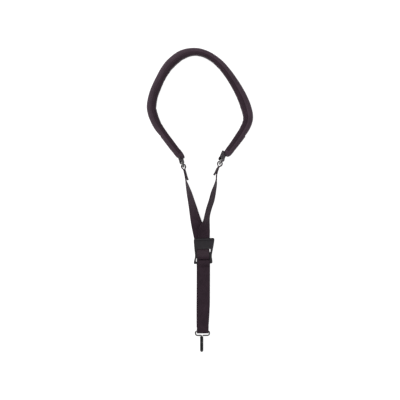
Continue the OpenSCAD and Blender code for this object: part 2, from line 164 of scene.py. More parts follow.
class Graph:
    """Short names for building one material's nodes."""

    def __init__(self, name, **sockets):
        self.mat = bpy.data.materials.new(name)
        self.mat.use_nodes = True
        self.tree = self.mat.node_tree
        self.shader = self.tree.nodes["Principled BSDF"]
        for socket, value in sockets.items():
            self.shader.inputs[socket.replace("_", " ")].default_value = value

    def node(self, kind, **values):
        made = self.tree.nodes.new(kind)
        for key, value in values.items():
            setattr(made, key, value)
        return made

    def link(self, source, target):
        self.tree.links.new(source, target)

    def value(self, socket, source):
        if isinstance(source, (int, float)):
            socket.default_value = source
        else:
            self.link(source, socket)

    def math(self, operation, a, b=0.0, c=0.0):
        made = self.node("ShaderNodeMath", operation=operation)
        for socket, source in zip(made.inputs, (a, b, c)):
            self.value(socket, source)
        return made.outputs[0]

    def object_coords(self):
        return self.node("ShaderNodeTexCoord").outputs["Object"]

    def noise(self, scale, detail=3.0, roughness=0.55, vector=None, distortion=0.0):
        made = self.node("ShaderNodeTexNoise")
        made.inputs["Scale"].default_value = scale
        made.inputs["Detail"].default_value = detail
        made.inputs["Roughness"].default_value = roughness
        made.inputs["Distortion"].default_value = distortion
        self.link(vector or self.object_coords(), made.inputs["Vector"])
        return made.outputs["Fac"]

    def ramp(self, source, stops):
        made = self.node("ShaderNodeValToRGB")
        elements = made.color_ramp.elements
        for i, (place, colour) in enumerate(stops):
            e = elements[i] if i < 2 else elements.new(place)
            e.position, e.color = place, (*colour, 1)
        self.link(source, made.inputs["Fac"])
        return made.outputs["Color"]

    def mix(self, factor, a, b, blend="MIX"):
        made = self.node("ShaderNodeMix", data_type="RGBA", blend_type=blend)
        self.value(made.inputs[0], factor)
        for socket, source in zip((made.inputs[6], made.inputs[7]), (a, b)):
            if isinstance(source, tuple):
                socket.default_value = (*source, 1)
            else:
                self.link(source, socket)
        return made.outputs[2]

    def colour(self, source):
        self.link(source, self.shader.inputs["Base Color"])

    def roughness(self, source, low, high):
        made = self.node("ShaderNodeMapRange")
        self.link(source, made.inputs["Value"])
        made.inputs["To Min"].default_value = low
        made.inputs["To Max"].default_value = high
        self.link(made.outputs["Result"], self.shader.inputs["Roughness"])

    def bump(self, *layers):
        """Bumps from (height, distance, strength), the coarsest first."""
        normal = None
        for height, distance, strength in layers:
            made = self.node("ShaderNodeBump")
            made.inputs["Distance"].default_value = distance
            made.inputs["Strength"].default_value = strength
            self.link(height, made.inputs["Height"])
            if normal:
                self.link(normal, made.inputs["Normal"])
            normal = made.outputs["Normal"]
        self.link(normal, self.shader.inputs["Normal"])


def woven_coords(g):
    """The mesh's own distance along and across the cloth, in millimetres."""
    attribute = g.node("ShaderNodeAttribute", attribute_name="cloth")
    split = g.node("ShaderNodeSeparateXYZ")
    g.link(attribute.outputs["Vector"], split.inputs[0])
    return attribute.outputs["Vector"], split.outputs[0], split.outputs[1]


def webbing_material(name, dark, light, crest_light=None):
    """Ribbed nylon webbing: ribs along it, yarns across them, a smooth selvedge. Its paler
    stretch, if any, is a painted highlight for the light on its crest over the slider's middle
    bar; the last argument gives the distances along it at which that starts and is complete."""
    g = Graph(name, Roughness=0.62, Sheen_Weight=0.02, Sheen_Roughness=0.5,
              Specular_IOR_Level=0.09)
    g.shader.inputs["Sheen Tint"].default_value = (0.80, 0.74, 0.80, 1)
    vector, along, across = woven_coords(g)
    rib = g.math("SINE", g.math("MULTIPLY", across, 2 * math.pi / 1.05))
    shift = g.math("MULTIPLY", g.math("GREATER_THAN", rib, 0.0), math.pi)
    yarn = g.math("SINE", g.math("ADD", g.math("MULTIPLY", along, 2 * math.pi / 0.95), shift))
    rib_height = g.math("ABSOLUTE", rib)
    yarn_height = g.math("MULTIPLY_ADD", yarn, 0.5, 0.5)
    weave = g.math("MULTIPLY", g.math("POWER", rib_height, 0.6), yarn_height)
    fuzz = g.noise(1.6, 4, vector=vector)
    blotch = g.noise(0.09, 3, vector=vector)
    shade = g.math("MULTIPLY_ADD", weave, 0.55, g.math("MULTIPLY", fuzz, 0.35))
    base = g.mix(shade, dark, light)
    worn = g.ramp(blotch, [(0.3, (0.82, 0.80, 0.82)), (0.7, (1.12, 1.08, 1.1))])
    shaded = g.mix(1.0, base, worn, "MULTIPLY")
    # Painted highlight: paler where the webbing rides over the slider's middle bar, for the light
    # on that crest.
    if crest_light:
        tone_blend = g.node("ShaderNodeMapRange", interpolation_type="SMOOTHSTEP")
        g.link(along, tone_blend.inputs["Value"])
        tone_blend.inputs["From Min"].default_value, tone_blend.inputs["From Max"].default_value = crest_light
        pale = g.mix(1.0, shaded, (1.46, 1.64, 1.48), "MULTIPLY")
        shaded = g.mix(tone_blend.outputs["Result"], shaded, pale)
    g.colour(shaded)
    g.roughness(fuzz, 0.52, 0.78)
    g.bump((blotch, 0.0006, 0.3), (weave, 0.00022, 0.8), (fuzz, 0.0001, 0.35))
    return g.mat


def pad_material(name, dark, light):
    """Fine knit over foam: a close grid of loops, soft mottling, and paler where the loops stand
    high, with fine random fuzz.
    """
    g = Graph(name, Roughness=0.7, Sheen_Weight=0.03, Sheen_Roughness=0.5,
              Specular_IOR_Level=0.1)
    g.shader.inputs["Sheen Tint"].default_value = (0.78, 0.70, 0.78, 1)
    vector, along, across = woven_coords(g)
    wale = g.math("SINE", g.math("MULTIPLY", across, 2 * math.pi / 0.8))
    course = g.math("SINE", g.math("MULTIPLY", along, 2 * math.pi / 0.9))
    knit = g.math("MULTIPLY_ADD", g.math("MULTIPLY", wale, course), 0.5, 0.5)
    fuzz = g.noise(1.3, 4, vector=vector)
    mottle = g.noise(26, 4, 0.6)
    base = g.mix(g.math("MULTIPLY_ADD", knit, 0.4, g.math("MULTIPLY", fuzz, 0.5)), dark, light)
    cloud = g.ramp(mottle, [(0.32, (0.78, 0.76, 0.78)), (0.7, (1.2, 1.16, 1.18))])
    g.colour(g.mix(1.0, base, cloud, "MULTIPLY"))
    g.roughness(mottle, 0.58, 0.82)
    g.bump((mottle, 0.0012, 0.25), (knit, 0.00016, 0.6), (fuzz, 0.0001, 0.4))
    return g.mat


def thread_material(name, colour):
    g = Graph(name, Roughness=0.5, Sheen_Weight=0.2, Specular_IOR_Level=0.4)
    twist = g.noise(2400, 2)
    g.colour(g.mix(twist, tuple(c * 0.7 for c in colour), tuple(c * 1.5 for c in colour)))
    g.roughness(twist, 0.4, 0.65)
    g.bump((twist, 0.00006, 0.6))
    return g.mat


def wire_material(name, colour, low, high):
    """Plated wire with fine drawing scratches and slight tarnish."""
    g = Graph(name, Metallic=1.0, Roughness=0.2)
    scratch = g.noise(900, 5, 0.7)
    tarnish = g.noise(140, 3)
    g.colour(g.mix(tarnish, tuple(c * 0.8 for c in colour), colour))
    g.roughness(g.math("MULTIPLY_ADD", scratch, 0.5, g.math("MULTIPLY", tarnish, 0.5)), low, high)
    g.bump((scratch, 0.00003, 0.3))
    return g.mat


def plastic_material(name, colour):
    """Moulded acetal: a faint spark-eroded grain, worn smoother on the high places."""
    g = Graph(name, Roughness=0.4, Specular_IOR_Level=0.3)
    grain = g.noise(2600, 2)
    tone_blend = g.noise(170, 4, 0.6)
    g.colour(g.mix(tone_blend, tuple(c * 0.8 for c in colour), tuple(c * 1.25 for c in colour)))
    g.roughness(tone_blend, 0.3, 0.5)
    g.bump((tone_blend, 0.0002, 0.15), (grain, 0.00004, 0.35))
    return g.mat


def vinyl_material(name, colour):
    """Dipped vinyl: soft gloss with dip ripples and dust in them."""
    g = Graph(name, Roughness=0.35, Specular_IOR_Level=0.2)
    ripple = g.noise(260, 3, 0.5, distortion=0.4)
    dust = g.noise(1900, 3)
    g.colour(g.mix(g.math("MULTIPLY", dust, ripple), tuple(c * 0.85 for c in colour),
                   tuple(c * 1.6 for c in colour)))
    g.roughness(ripple, 0.24, 0.42)
    g.bump((ripple, 0.00025, 0.25), (dust, 0.00003, 0.2))
    return g.mat


# --- curves and sweeps ---------------------------------------------------------------------

def unit(v):
    v = np.asarray(v, float)
    return v / np.linalg.norm(v)


def catmull(a, b, c, d, t):
    return 0.5 * (2 * b + (c - a) * t + (2 * a - 5 * b + 4 * c - d) * t * t
                  + (3 * b - a - 3 * c + d) * t ** 3)


def spline(points, steps):
    """A smooth line through points of any dimension, with steps parts between two points."""
    p = [np.array(q, float) for q in points]
    last = len(p) - 1
    line = [catmull(p[max(i - 1, 0)], p[i], p[i + 1], p[min(i + 2, last)], j / steps)
            for i in range(last) for j in range(steps)]
    return np.array(line + [p[last]])


def lengths(points):
    return np.concatenate([[0.0], np.cumsum(np.linalg.norm(np.diff(points, axis=0), axis=1))])


def tangents(points):
    return np.array([unit(t) for t in np.gradient(points, axis=0)])


def new_piece(name, verts, faces, mat, cloth=None, sharp=35):
    """A smooth-shaded mesh from millimetre points, with an optional cloth coordinate."""
    mesh = bpy.data.meshes.new(name)
    mesh.from_pydata([tuple(v) for v in np.asarray(verts, float) * MM], [], faces)
    mesh.materials.append(mat)
    if cloth is not None:
        layer = mesh.attributes.new("cloth", "FLOAT_VECTOR", "POINT")
        layer.data.foreach_set("vector", np.asarray(cloth, np.float32).ravel())
    mesh.validate()
    mesh.update()
    mesh.shade_smooth()
    mesh.set_sharp_from_angle(angle=math.radians(sharp))
    piece = bpy.data.objects.new(name, mesh)
    bpy.context.collection.objects.link(piece)
    return piece


def sweep(stations, closed=False):
    """Points and faces of a solid through stations of corner loops, all with as many corners."""
    rings = np.array(stations)
    m, n = rings.shape[:2]
    faces = []
    for j in range(m if closed else m - 1):
        k = (j + 1) % m
        for i in range(n):
            i2 = (i + 1) % n
            faces.append((j * n + i, j * n + i2, k * n + i2, k * n + i))
    if not closed:
        faces.append(tuple(range(n - 1, -1, -1)))
        faces.append(tuple((m - 1) * n + i for i in range(n)))
    return rings.reshape(-1, 3), faces


def web_outline(width):
    """Outline of webbing with a thicker rounded selvedge and a slightly hollow middle."""
    half = width / 2
    edge = WEB_T / 2
    x = np.linspace(-half + edge, half - edge, WEB_POINTS)
    face = edge * (0.93 + 0.10 * np.exp(-((half - np.abs(x)) / 1.6) ** 2))
    arc = [(half - edge + edge * math.cos(a), 0.98 * edge * math.sin(a))
           for a in np.linspace(-math.pi / 2, math.pi / 2, 6)[1:-1]]
    lower = list(zip(x, -face))
    upper = list(zip(x[::-1], face[::-1]))
    left = [(-a, -b) for a, b in arc]
    return np.array(lower + arc + upper + left)


def ribbon(name, points, widths, mat, seed, width=WEB_W, wave=0.12, round_end=0.0):
    """Webbing along points, as wide as width along widths. wave is its unevenness in mm, and
    round_end the length over which its ends narrow."""
    outline = web_outline(width)
    along = lengths(points)
    directions = tangents(points)
    stations, cloth = [], []
    for p, w, d, s in zip(points, widths, directions, along):
        n = unit(np.cross(d, w))
        ring = []
        for a, b in outline:
            ripple = wave * noise.noise(Vector((s / 14 + seed, a / 8, seed)))
            ripple += 0.35 * wave * noise.noise(Vector((s / 4 + seed, a / 3, seed + 5)))
            edge = 1 + 0.006 * noise.noise(Vector((s / 5, seed, 3.0)))
            tip = min(s, along[-1] - s)
            if tip < round_end:
                edge *= 0.72 + 0.28 * math.sqrt(1 - (1 - tip / round_end) ** 2)
            ring.append(p + a * edge * w + (b + ripple) * n)
            cloth.append((s + 0.15 * b, a, b))
        stations.append(ring)
    verts, faces = sweep(stations)
    return new_piece(name, verts, faces, mat, cloth)


def tube(name, points, radius, mat, sides, closed=False, radii=None):
    """Round wire along points, with flat ends, or closed on itself."""
    points = np.asarray(points, float)
    if closed:
        direction = np.array([unit(b - a) for a, b in zip(np.roll(points, 1, 0),
                                                            np.roll(points, -1, 0))])
    else:
        direction = tangents(points)
    normal = unit(np.cross(direction[0], [0.3, 0.5, 0.81]))
    stations = []
    for i, (p, d) in enumerate(zip(points, direction)):
        normal = unit(normal - d * normal.dot(d))
        side = np.cross(d, normal)
        r = radius if radii is None else radii[i]
        stations.append([p + r * (math.cos(a) * normal + math.sin(a) * side)
                         for a in np.linspace(0, 2 * math.pi, sides, endpoint=False)])
    verts, faces = sweep(stations, closed)
    return new_piece(name, verts, faces, mat)


def arc(centre, radius, a0, a1, steps, u, v):
    """Points round centre from angle a0 to a1 in degrees, in the plane of u and v."""
    centre, u, v = (np.asarray(x, float) for x in (centre, u, v))
    return [centre + radius * (math.cos(math.radians(a)) * u + math.sin(math.radians(a)) * v)
            for a in np.linspace(a0, a1, steps)]


def at_length(points, along, s):
    """The point s along a line whose points lie at the lengths in along."""
    s = min(max(s, 0.0), along[-1])
    return np.array([np.interp(s, along, column) for column in points.T])


def stitches(name, lines, mat, pitch, gap, radius):
    """Rows of separate thread stitches. Each line is (points, normals) along the surface."""
    verts, faces = [], []
    sides, rings, nearby = 8, 7, 0.1
    for points, normals in lines:
        points, normals = np.asarray(points, float), np.asarray(normals, float)
        along = lengths(points)
        count = max(1, int(along[-1] // pitch))
        step = along[-1] / count
        for k in range(count):
            stations = []
            for r in range(rings):
                f = r / (rings - 1)
                s = k * step + gap / 2 + f * (step - gap)
                p, n = at_length(points, along, s), unit(at_length(normals, along, s))
                way = (at_length(points, along, s + nearby) - at_length(points, along, s - nearby))
                side = unit(np.cross(unit(way), n))
                lift = radius * (0.75 - 1.1 * (2 * f - 1) ** 4)
                size = radius * (1.0 - 0.45 * (2 * f - 1) ** 6)
                stations.append([p + n * lift + size * (math.cos(a) * side + math.sin(a) * n)
                                 for a in np.linspace(0, 2 * math.pi, sides, endpoint=False)])
            v, f = sweep(stations)
            faces += [tuple(i + len(verts) for i in face) for face in f]
            verts += list(v)
    return new_piece(name, verts, faces, mat, sharp=60)


# --- the neck pad --------------------------------------------------------------------------

PAD_STEPS = 24             # stations between two points of the pad's route
BEND_REACH = 9             # stations on each side over which its bend is read
EDGE_ROUND = 0.46          # radius of its long edges, as a share of its thickness
EDGE_POINTS, FACE_POINTS = 9, 14
SEAM_DEPTH, SEAM_WIDTH = 0.9, 1.3
PUFF = 0.7
LUMP = 0.55
WRINKLE = 0.75
# Where the covering of each end starts: distance along the route, the sign of the way out of
# the covering, and how far the outer face dips beside it and stands proud on it
HEMS = [(39.5, 1, 0.6, 0.3), (380.4, -1, 1.1, 0.25)]
HEM_STITCH_IN = 2.2        # from the covering's edge to its stitches

pad_line = spline(PAD_ROUTE, PAD_STEPS)
pad_xy = np.column_stack([pad_line[:, :2], np.zeros(len(pad_line))])
pad_along = lengths(pad_xy)
pad_dir = tangents(pad_xy)
pad_out = np.cross(UP, pad_dir)


def pad_height(f):
    """Height of the pad's band at f, from 0 at one end of its route to 1 at the other."""
    swell = math.sin(math.pi * f) ** 0.9 if 0 < f < 1 else 0.0
    return PAD_END_H + (PAD_H - PAD_END_H) * swell


def pad_bend(i):
    """How sharply the pad turns at station i, in radians over the stations within BEND_REACH."""
    a, b = pad_dir[max(i - BEND_REACH, 0)], pad_dir[min(i + BEND_REACH, len(pad_dir) - 1)]
    return math.acos(max(-1.0, min(1.0, float(a.dot(b)))))


def section(thick, height):
    """Half outline of the pad from its bottom seam over one face to its top seam: (u, z)."""
    r = EDGE_ROUND * thick
    low = [(thick / 2 - r + r * math.cos(a), r + r * math.sin(a))
           for a in np.linspace(-math.pi / 2, 0, EDGE_POINTS)]
    side = [(thick / 2, z) for z in np.linspace(r, height - r, FACE_POINTS)[1:-1]]
    high = [(thick / 2 - r + r * math.cos(a), height - r + r * math.sin(a))
            for a in np.linspace(0, math.pi / 2, EDGE_POINTS)]
    return [(0.0, 0.0)] + low + side + high + [(0.0, height)]


def hem_push(s):
    """The step in the outer face where each end's covering starts, s along the pad."""
    push = 0.0
    for hem, way, dip, lip in HEMS:
        past = way * (s - hem)
        push += -dip * math.exp(-past / 5.0) if past > 0 else lip * math.exp(past / 8.0)
    return push


def pad_station(i):
    """Corners of one pad station with its puff, seam pinch, lumps and wrinkles, and its cloth."""
    thick, f = pad_line[i][2], i / (len(pad_line) - 1)
    height = pad_height(f)
    s = pad_along[i]
    bend = pad_bend(i)
    half = section(thick, height)
    ring = [(u, z, 1) for u, z in half] + [(-u, z, -1) for u, z in half[-2:0:-1]]
    base, out = pad_xy[i], pad_out[i]
    points, cloth = [], []
    around = 0.0
    before = None
    for u, z, side in ring:
        if before is not None:
            around += math.hypot(u - before[0], z - before[1])
        before = (u, z)
        mid = 4 * (z / height) * (1 - z / height)
        n = unit((u / (thick / 2), 1.1 * (2 * z / height - 1) ** 9))
        push = PUFF * mid * abs(n[0])
        pinch = math.exp(-(u / SEAM_WIDTH) ** 2) if z < 2 or z > height - 2 else 0.0
        push -= SEAM_DEPTH * pinch
        spot = Vector((s / 34, z / 26, 3.0 * side))
        push += LUMP * noise.noise(spot) + 0.3 * LUMP * noise.noise(spot * 3.1)
        if side > 0:
            push += hem_push(s) * min(1.0, 0.25 + abs(n[0]))
        else:
            fold = noise.noise(Vector((s / 5.5, z / 60, 7.0)))
            push += WRINKLE * min(1.0, bend / 0.45) * mid * fold * 1.5
        gather = noise.noise(Vector((s / 3.2, side * 2.0, 1.0)))
        push += 0.16 * gather * math.exp(-(u / 4.0) ** 2)
        push *= min(1.0, 0.25 + 6 * min(f, 1 - f))
        p = base + (u + n[0] * push) * out + UP * max(0.02, z + n[1] * push)
        points.append(p)
        cloth.append((s, around, side))
    return points, cloth


def make_pad(cover, lining):
    rings, cloth = zip(*[pad_station(i) for i in range(len(pad_line))])
    verts, faces = sweep(rings)
    pad = new_piece("neck_pad", verts, faces, cover, [c for ring in cloth for c in ring])
    pad.data.materials.append(lining)
    n = len(rings[0])
    inner = [k % n >= n // 2 for k in range((len(rings) - 1) * n)]
    for polygon, is_inner in zip(pad.data.polygons, inner):
        polygon.material_index = int(is_inner)
    return pad


def pad_seam_line(offset, top):
    """Points and normals of a stitch row beside the pad's top or bottom seam."""
    points, normals = [], []
    for i in range(6, len(pad_line) - 6, 2):
        thick, height = pad_line[i][2], pad_height(i / (len(pad_line) - 1))
        r = EDGE_ROUND * thick
        over = abs(offset) - (thick / 2 - r)
        drop = r - math.sqrt(max(r * r - over * over, 0.0)) if over > 0 else 0.0
        drop += 0.15
        side = math.copysign(1.0, offset)
        tilt = side * max(over, 0.0) / r
        z = height - drop if top else drop
        points.append(pad_xy[i] + offset * pad_out[i] + UP * z)
        normals.append(unit(tilt * pad_out[i] + UP * (1 if top else -1)))
    return points, normals


def pad_hem_line(hem, way):
    """Points and normals of the stitch row that holds the hem, just on its covering's side."""
    i = int(np.argmin(np.abs(pad_along - (hem - HEM_STITCH_IN * way))))
    thick, height = pad_line[i][2], pad_height(i / (len(pad_line) - 1))
    points, normals = [], []
    for z in np.linspace(0.22 * height, 0.78 * height, 12):
        bulge = PUFF * 4 * (z / height) * (1 - z / height) + hem_push(pad_along[i])
        bulge += LUMP * noise.noise(Vector((pad_along[i] / 34, z / 26, 3.0)))
        points.append(pad_xy[i] + (thick / 2 + bulge - 0.25) * pad_out[i] + z * UP)
        normals.append(pad_out[i])
    return points, normals


def make_pad_end(name, last, before, side, cover):
    """The bound patch that closes one end and runs down beside the tab."""
    line = unit(pad_xy[last] - pad_xy[before])
    turned = ahead(side["ring"])
    thick, height = pad_line[last][2], PAD_END_H
    rings, cloth = [], []
    reach = [(s, grow, 0.0) for s, grow in END_HEM]
    reach += [(END_LEN * k, END_PROUD, k)
              for k in np.sin(np.linspace(0.08, 1, 16) * math.pi / 2)]
    for s, grow, k in reach:
        close = math.sqrt(1 - END_TAPER * k * k)
        t, h = thick * close + 2 * grow, height * (END_LOW + (1 - END_LOW) * close ** 2)
        way = unit((1 - 0.8 * k) * line + 0.8 * k * turned)
        out = np.cross(UP, way)
        half = section(t, h)
        loop = [(u, z) for u, z in half] + [(-u, z) for u, z in half[-2:0:-1]]
        centre = pad_xy[last] + s * line + END_DRIFT * k * k * np.array([1.0, 0.0, 0.0])
        around = 0.0
        ring = []
        for u, z in loop:
            bulge = 0.25 * noise.noise(Vector((s / 4, z / 6, u / 4 + last)))
            ring.append(centre + (u * (1 + 0.02 * bulge)) * out + UP * max(0.02, z + bulge * 0.4))
            cloth.append((s, around, 2.0))
            around += 1.1
        rings.append(ring)
    verts, faces = sweep(rings)
    return new_piece(name, verts, faces, cover, cloth)


# --- the two sides below the pad -----------------------------------------------------------

def ahead(angle):
    """Direction along a side towards the junction, from its heading in degrees."""
    return np.array([math.sin(math.radians(angle)), -math.cos(math.radians(angle)), 0.0])


def leaning(side, angle, lean):
    """Directions across the webbing and out of its face, for a lean from upright."""
    a = math.radians(angle)
    inwards = side["sign"] * np.array([math.cos(a), math.sin(a), 0.0])
    a = math.radians(lean)
    return math.cos(a) * UP + math.sin(a) * inwards, math.cos(a) * inwards - math.sin(a) * UP


def at_ring(side, angle, a, b):
    """A point of one side: a up the strap from the ring's lower bar, b inwards."""
    _, n = leaning(side, angle, side["lean"])
    return np.array(side["bar"], float) - a * ahead(angle) + b * n


def make_ring(name, side, mat):
    w, _ = leaning(side, side["ring"], side["lean"])
    d = -ahead(side["ring"])
    c = at_ring(side, side["ring"], RING_GAP / 2, 0)
    hw, hl = RING_INNER / 2 + RING_WIRE_R - RING_BEND_R, RING_GAP / 2 - RING_BEND_R
    points = []
    for sw, sd, a0 in ((1, 1, 0), (-1, 1, 90), (-1, -1, 180), (1, -1, 270)):
        points += arc(c + sw * hw * w + sd * hl * d, RING_BEND_R, a0, a0 + 90, 8, w, d)
    return tube(name, points, RING_WIRE_R, mat, sides=24, closed=True)


def tab_lean(side, a):
    """Lean of the tab's webbing at a, which grows from the ring towards the pad."""
    k = min(max((a - RING_GAP) / 4.0, 0), 1)
    low, high = side["tab_lean"]
    return low + (high - low) * k * k * (3 - 2 * k)


def at_tab(side, a, b):
    """A point of the tab and its direction across, a up from the ring's lower bar, b inwards."""
    w, n = leaning(side, side["tab"], tab_lean(side, a))
    base = at_ring(side, side["ring"], RING_GAP, 0)
    return base - (a - RING_GAP) * ahead(side["tab"]) + (b + side["tab_shift"]) * n, w, n


def make_tab(name, side, mat):
    """Webbing doubled round the ring's upper bar, its ends sewn to the pad's end."""
    r = side["tab_r"]
    down = spline([(side["tab_reach"], -0.72), (RING_GAP + 3.8, -0.72),
                   (RING_GAP + 2.2, -0.55 * r)], 8)
    loop = [(RING_GAP - 2.9 * math.cos(a), r * math.copysign(abs(math.sin(a)) ** 0.7, a))
            for a in np.radians(np.arange(-110, 111, 10))]
    route = [*map(tuple, down), *loop, *((a, -b) for a, b in down[::-1])]
    points, widths = [], []
    for a, b in route:
        p, w, _ = at_tab(side, a, b)
        points.append(p + 4.0 * min(max((a - RING_GAP - 3) / 7.0, 0), 1) ** 2 * UP)
        widths.append(w)
    return ribbon(name, np.array(points), np.array(widths), mat, seed=side["bar"][0],
                  round_end=4.0)


def fold_line(side):
    """The fold over the ring's lower bar, from its end to where the strand starts."""
    h = side["fold_half"]
    return [(-side["fold_reach"], 1.6), (-16, 0.85), (-10, 0.72), (-5.2, 0.76), (-3.3, 0.44 * h),
            (-1.2, 0.91 * h), (0.6, 0.98 * h), (2.5, 0.9 * h), (3.8, 0.5 * h), (4.2, 0),
            (3.8, -0.5 * h), (2.5, -0.9 * h), (0.6, -0.98 * h), (-1.2, -0.91 * h),
            (-3.3, -0.44 * h), (-5.2, -0.76)]


def fold_lean(side, a, b):
    """The folded end leans back against the strand; the loop stands as the ring does."""
    k = min(max((-a - 3.5) / 5.0, 0), 1) if b > 0 else 0.0
    return side["lean"] + (-6.5 - side["lean"]) * k * k * (3 - 2 * k)


def strand_path(side, route):
    """Points and width directions of a strand: its fold over the ring, then its twisting run."""
    line = spline(fold_line(side), 10)
    fold = [at_ring(side, side["fold"], a, b) for a, b in line]
    widths = [leaning(side, side["fold"], fold_lean(side, a, b))[0] for a, b in line]
    run = spline(route, 12)
    lean = np.radians(np.minimum(run[:, 2], 90.0))
    z = WEB_W / 2 * np.abs(np.cos(lean)) + WEB_T / 2 * np.sin(np.abs(lean)) + run[:, 3]
    points = np.column_stack([run[:, :2], z])
    flat = np.column_stack([run[:, :2], np.zeros(len(run))])
    for a, d in zip(lean, tangents(flat)):
        widths.append(math.cos(a) * UP + math.sin(a) * side["sign"] * np.cross(UP, d))
    return np.array([*fold, *points]), np.array(widths)


def fold_face(side, a):
    """How far out of the strap's middle the folded end's outer face lies at a."""
    line = fold_line(side)[:4]
    return float(np.interp(a, [p[0] for p in line], [p[1] for p in line])) + WEB_T / 2 - 0.04


def make_fold_stitching(name, side, mat):
    """A sewn box with a cross in it, through the folded end."""
    near, far, half = -9.5, 2.0 - side["fold_reach"], 6.8
    w, n = leaning(side, side["fold"], fold_lean(side, near, 1))
    corners = [(near, -half), (near, half), (far, half), (far, -half)]
    lines = []
    pairs = [(corners[i], corners[(i + 1) % 4]) for i in range(4)]
    pairs += [(corners[0], corners[2]), (corners[1], corners[3])]
    for (a0, w0), (a1, w1) in pairs:
        points = [at_ring(side, side["fold"], a, fold_face(side, a)) + v * w
                  for a, v in zip(np.linspace(a0, a1, 6), np.linspace(w0, w1, 6))]
        lines.append((points, [n] * len(points)))
    return stitches(name, lines, mat, pitch=2.0, gap=0.5, radius=0.17)


def make_tab_stitching(name, side, mat):
    lines = []
    for a in (RING_GAP + 4.5, RING_GAP + 5.6):
        p, w, n = at_tab(side, a, -0.76 - WEB_T / 2)
        points = [p + (v + 0.4) * w for v in np.linspace(-7.5, 7.5, 8)]
        lines.append((points, [-n] * len(points)))
    return stitches(name, lines, mat, pitch=1.9, gap=0.4, radius=0.22)


# --- drop strap, slider and hook -----------------------------------------------------------

def make_back_ply(mat):
    y = np.linspace(DROP_TOP, DROP_END, 110)
    x = BACK_X + 0.15 * np.sin(y / 23)
    points = np.column_stack([x, y, np.full(len(y), PLY_PITCH + WEB_T / 2)])
    return ribbon("back_ply", points, np.tile([1.0, 0, 0], (len(y), 1)), mat, seed=4,
                  width=WEB_W + 0.4, wave=0.05)


def front_x(y):
    xs, ys = zip(*FRONT_RUN[::-1])
    return float(np.interp(y, ys, xs))


def make_front_ply(mat):
    """The front ply, its fold round the hook ring's bar and the tail behind."""
    front_z = 2 * PLY_PITCH + WEB_T / 2
    fold_r = HOOK_Z - WEB_T / 2
    run = [(front_x(y), y, front_z) for y in np.linspace(FRONT_RUN[0][1], -199, 96)]
    ease = [tuple(q) for q in spline([(front_x(-199), -199, front_z),
                                      (FOLD_X + 0.1, -203, front_z + 0.3),
                                      (FOLD_X, -206.5, front_z + 1)], 4)[1:]]
    fold = [(FOLD_X, HOOK_BAR_Y - 1.4 * fold_r * math.cos(a), HOOK_Z + fold_r * math.sin(a))
            for a in np.radians(np.arange(90, -91, -7.5))]
    tail = [tuple(q) for q in spline([(FOLD_X, HOOK_BAR_Y + 0.4, WEB_T / 2),
                                      (FOLD_X, -203, WEB_T / 2),
                                      (FOLD_X, TAIL_TOP, WEB_T / 2)], 10)]
    points = np.array(run + ease + fold + tail)
    return ribbon("front_ply", points, np.tile([1.0, 0, 0], (len(points), 1)), mat, seed=9,
                  wave=0.06)


# The webbing inside the slider: over its bottom bar, into the lower slot, over its middle bar
HUMP = [(-105.6, 4.85), (-104.7, 5), (-103.6, 5.75), (-102.9, 6.8), (-101.9, 7.6), (-99.8, 8),
        (-98.1, 8), (-96.8, 7.35), (-96.4, 6.1), (-96, 5.2), (-95.2, 4.95), (-94.4, 5.3),
        (-93.9, 6.2), (-93.5, 7.3), (-92.2, 7.9), (-90.2, 8.3), (-88.2, 8.8), (-86, 9),
        (-84, 8.7), (-82.3, 7.9), (-81.5, 6.6), (-81.1, 5.6), (-80, 4.95), (-78.4, 4.85)]


def make_slider_webbing(mat):
    points = np.array([(HUMP_X + HUMP_SKEW * (HUMP[-1][0] - y), y, z) for y, z in spline(HUMP, 6)])
    slope = math.radians(SLIDER_TURN + SLIDER_SHEAR)
    widths = np.tile([math.cos(slope), math.sin(slope), 0], (len(points), 1))
    return ribbon("slider_hump", points, widths, mat, seed=2, wave=0.06)


SLIDER_SIDE = [(13.4, -21), (14.6, -20.2), (14.9, -18.6), (14.3, -14), (13.6, -10.5),
               (13.5, -7), (14, -3), (15, 4), (15.9, 11), (16.5, 17), (16.4, 19.2),
               (15.4, 20.6), (13.8, 21)]
SLIDER_SIDE_LEN = 42       # length that SLIDER_SIDE and SLOTS are drawn for
SLOTS = [(-10.9, 10.8, -2.2, 3.0), (-11.4, 10.2, -17.4, -11.8)]
SLIDER_LIP, LIP_T, LIP_Z = (-15.2, 15.2, 16.6, 20.1, 1.7), 2.0, 1.3
DISH_Y, DISH_HALF_W, DISH_HALF_L, DISH_DEPTH = 10.5, 13, 6.5, 0.45


def slot_outline(left, right, low, high, r=0.9):
    """A rectangle with rounded corners."""
    steps = 4
    points = []
    for cx, cy, a0 in ((right - r, high - r, 0), (left + r, high - r, 90),
                       (left + r, low + r, 180), (right - r, low + r, 270)):
        points += [(cx + r * math.cos(math.radians(a0 + 90 * k / steps)),
                    cy + r * math.sin(math.radians(a0 + 90 * k / steps)))
                   for k in range(steps + 1)]
    return points


def flat_solid(name, outlines, thickness, z, bevel):
    """A plate with holes and rounded edges, from closed outlines in millimetres."""
    data = bpy.data.curves.new(name, "CURVE")
    data.dimensions, data.fill_mode = "2D", "BOTH"
    data.extrude = (thickness / 2 - bevel) * MM
    data.bevel_depth, data.bevel_resolution = bevel * MM, 3
    data.offset = -bevel * MM
    for outline in outlines:
        line = data.splines.new("POLY")
        line.points.add(len(outline) - 1)
        line.use_cyclic_u = True
        for point, (x, y) in zip(line.points, outline):
            point.co = (x * MM, y * MM, 0, 1)
    piece = bpy.data.objects.new(name, data)
    bpy.context.collection.objects.link(piece)
    piece.location.z = (z + thickness / 2) * MM
    return piece


def to_mesh(piece):
    bpy.ops.object.select_all(action="DESELECT")
    piece.select_set(True)
    bpy.context.view_layer.objects.active = piece
    bpy.ops.object.convert(target="MESH")
    return bpy.context.object


def apply_modifiers(piece):
    bpy.ops.object.select_all(action="DESELECT")
    piece.select_set(True)
    bpy.context.view_layer.objects.active = piece
    for modifier in list(piece.modifiers):
        bpy.ops.object.modifier_apply(modifier=modifier.name)


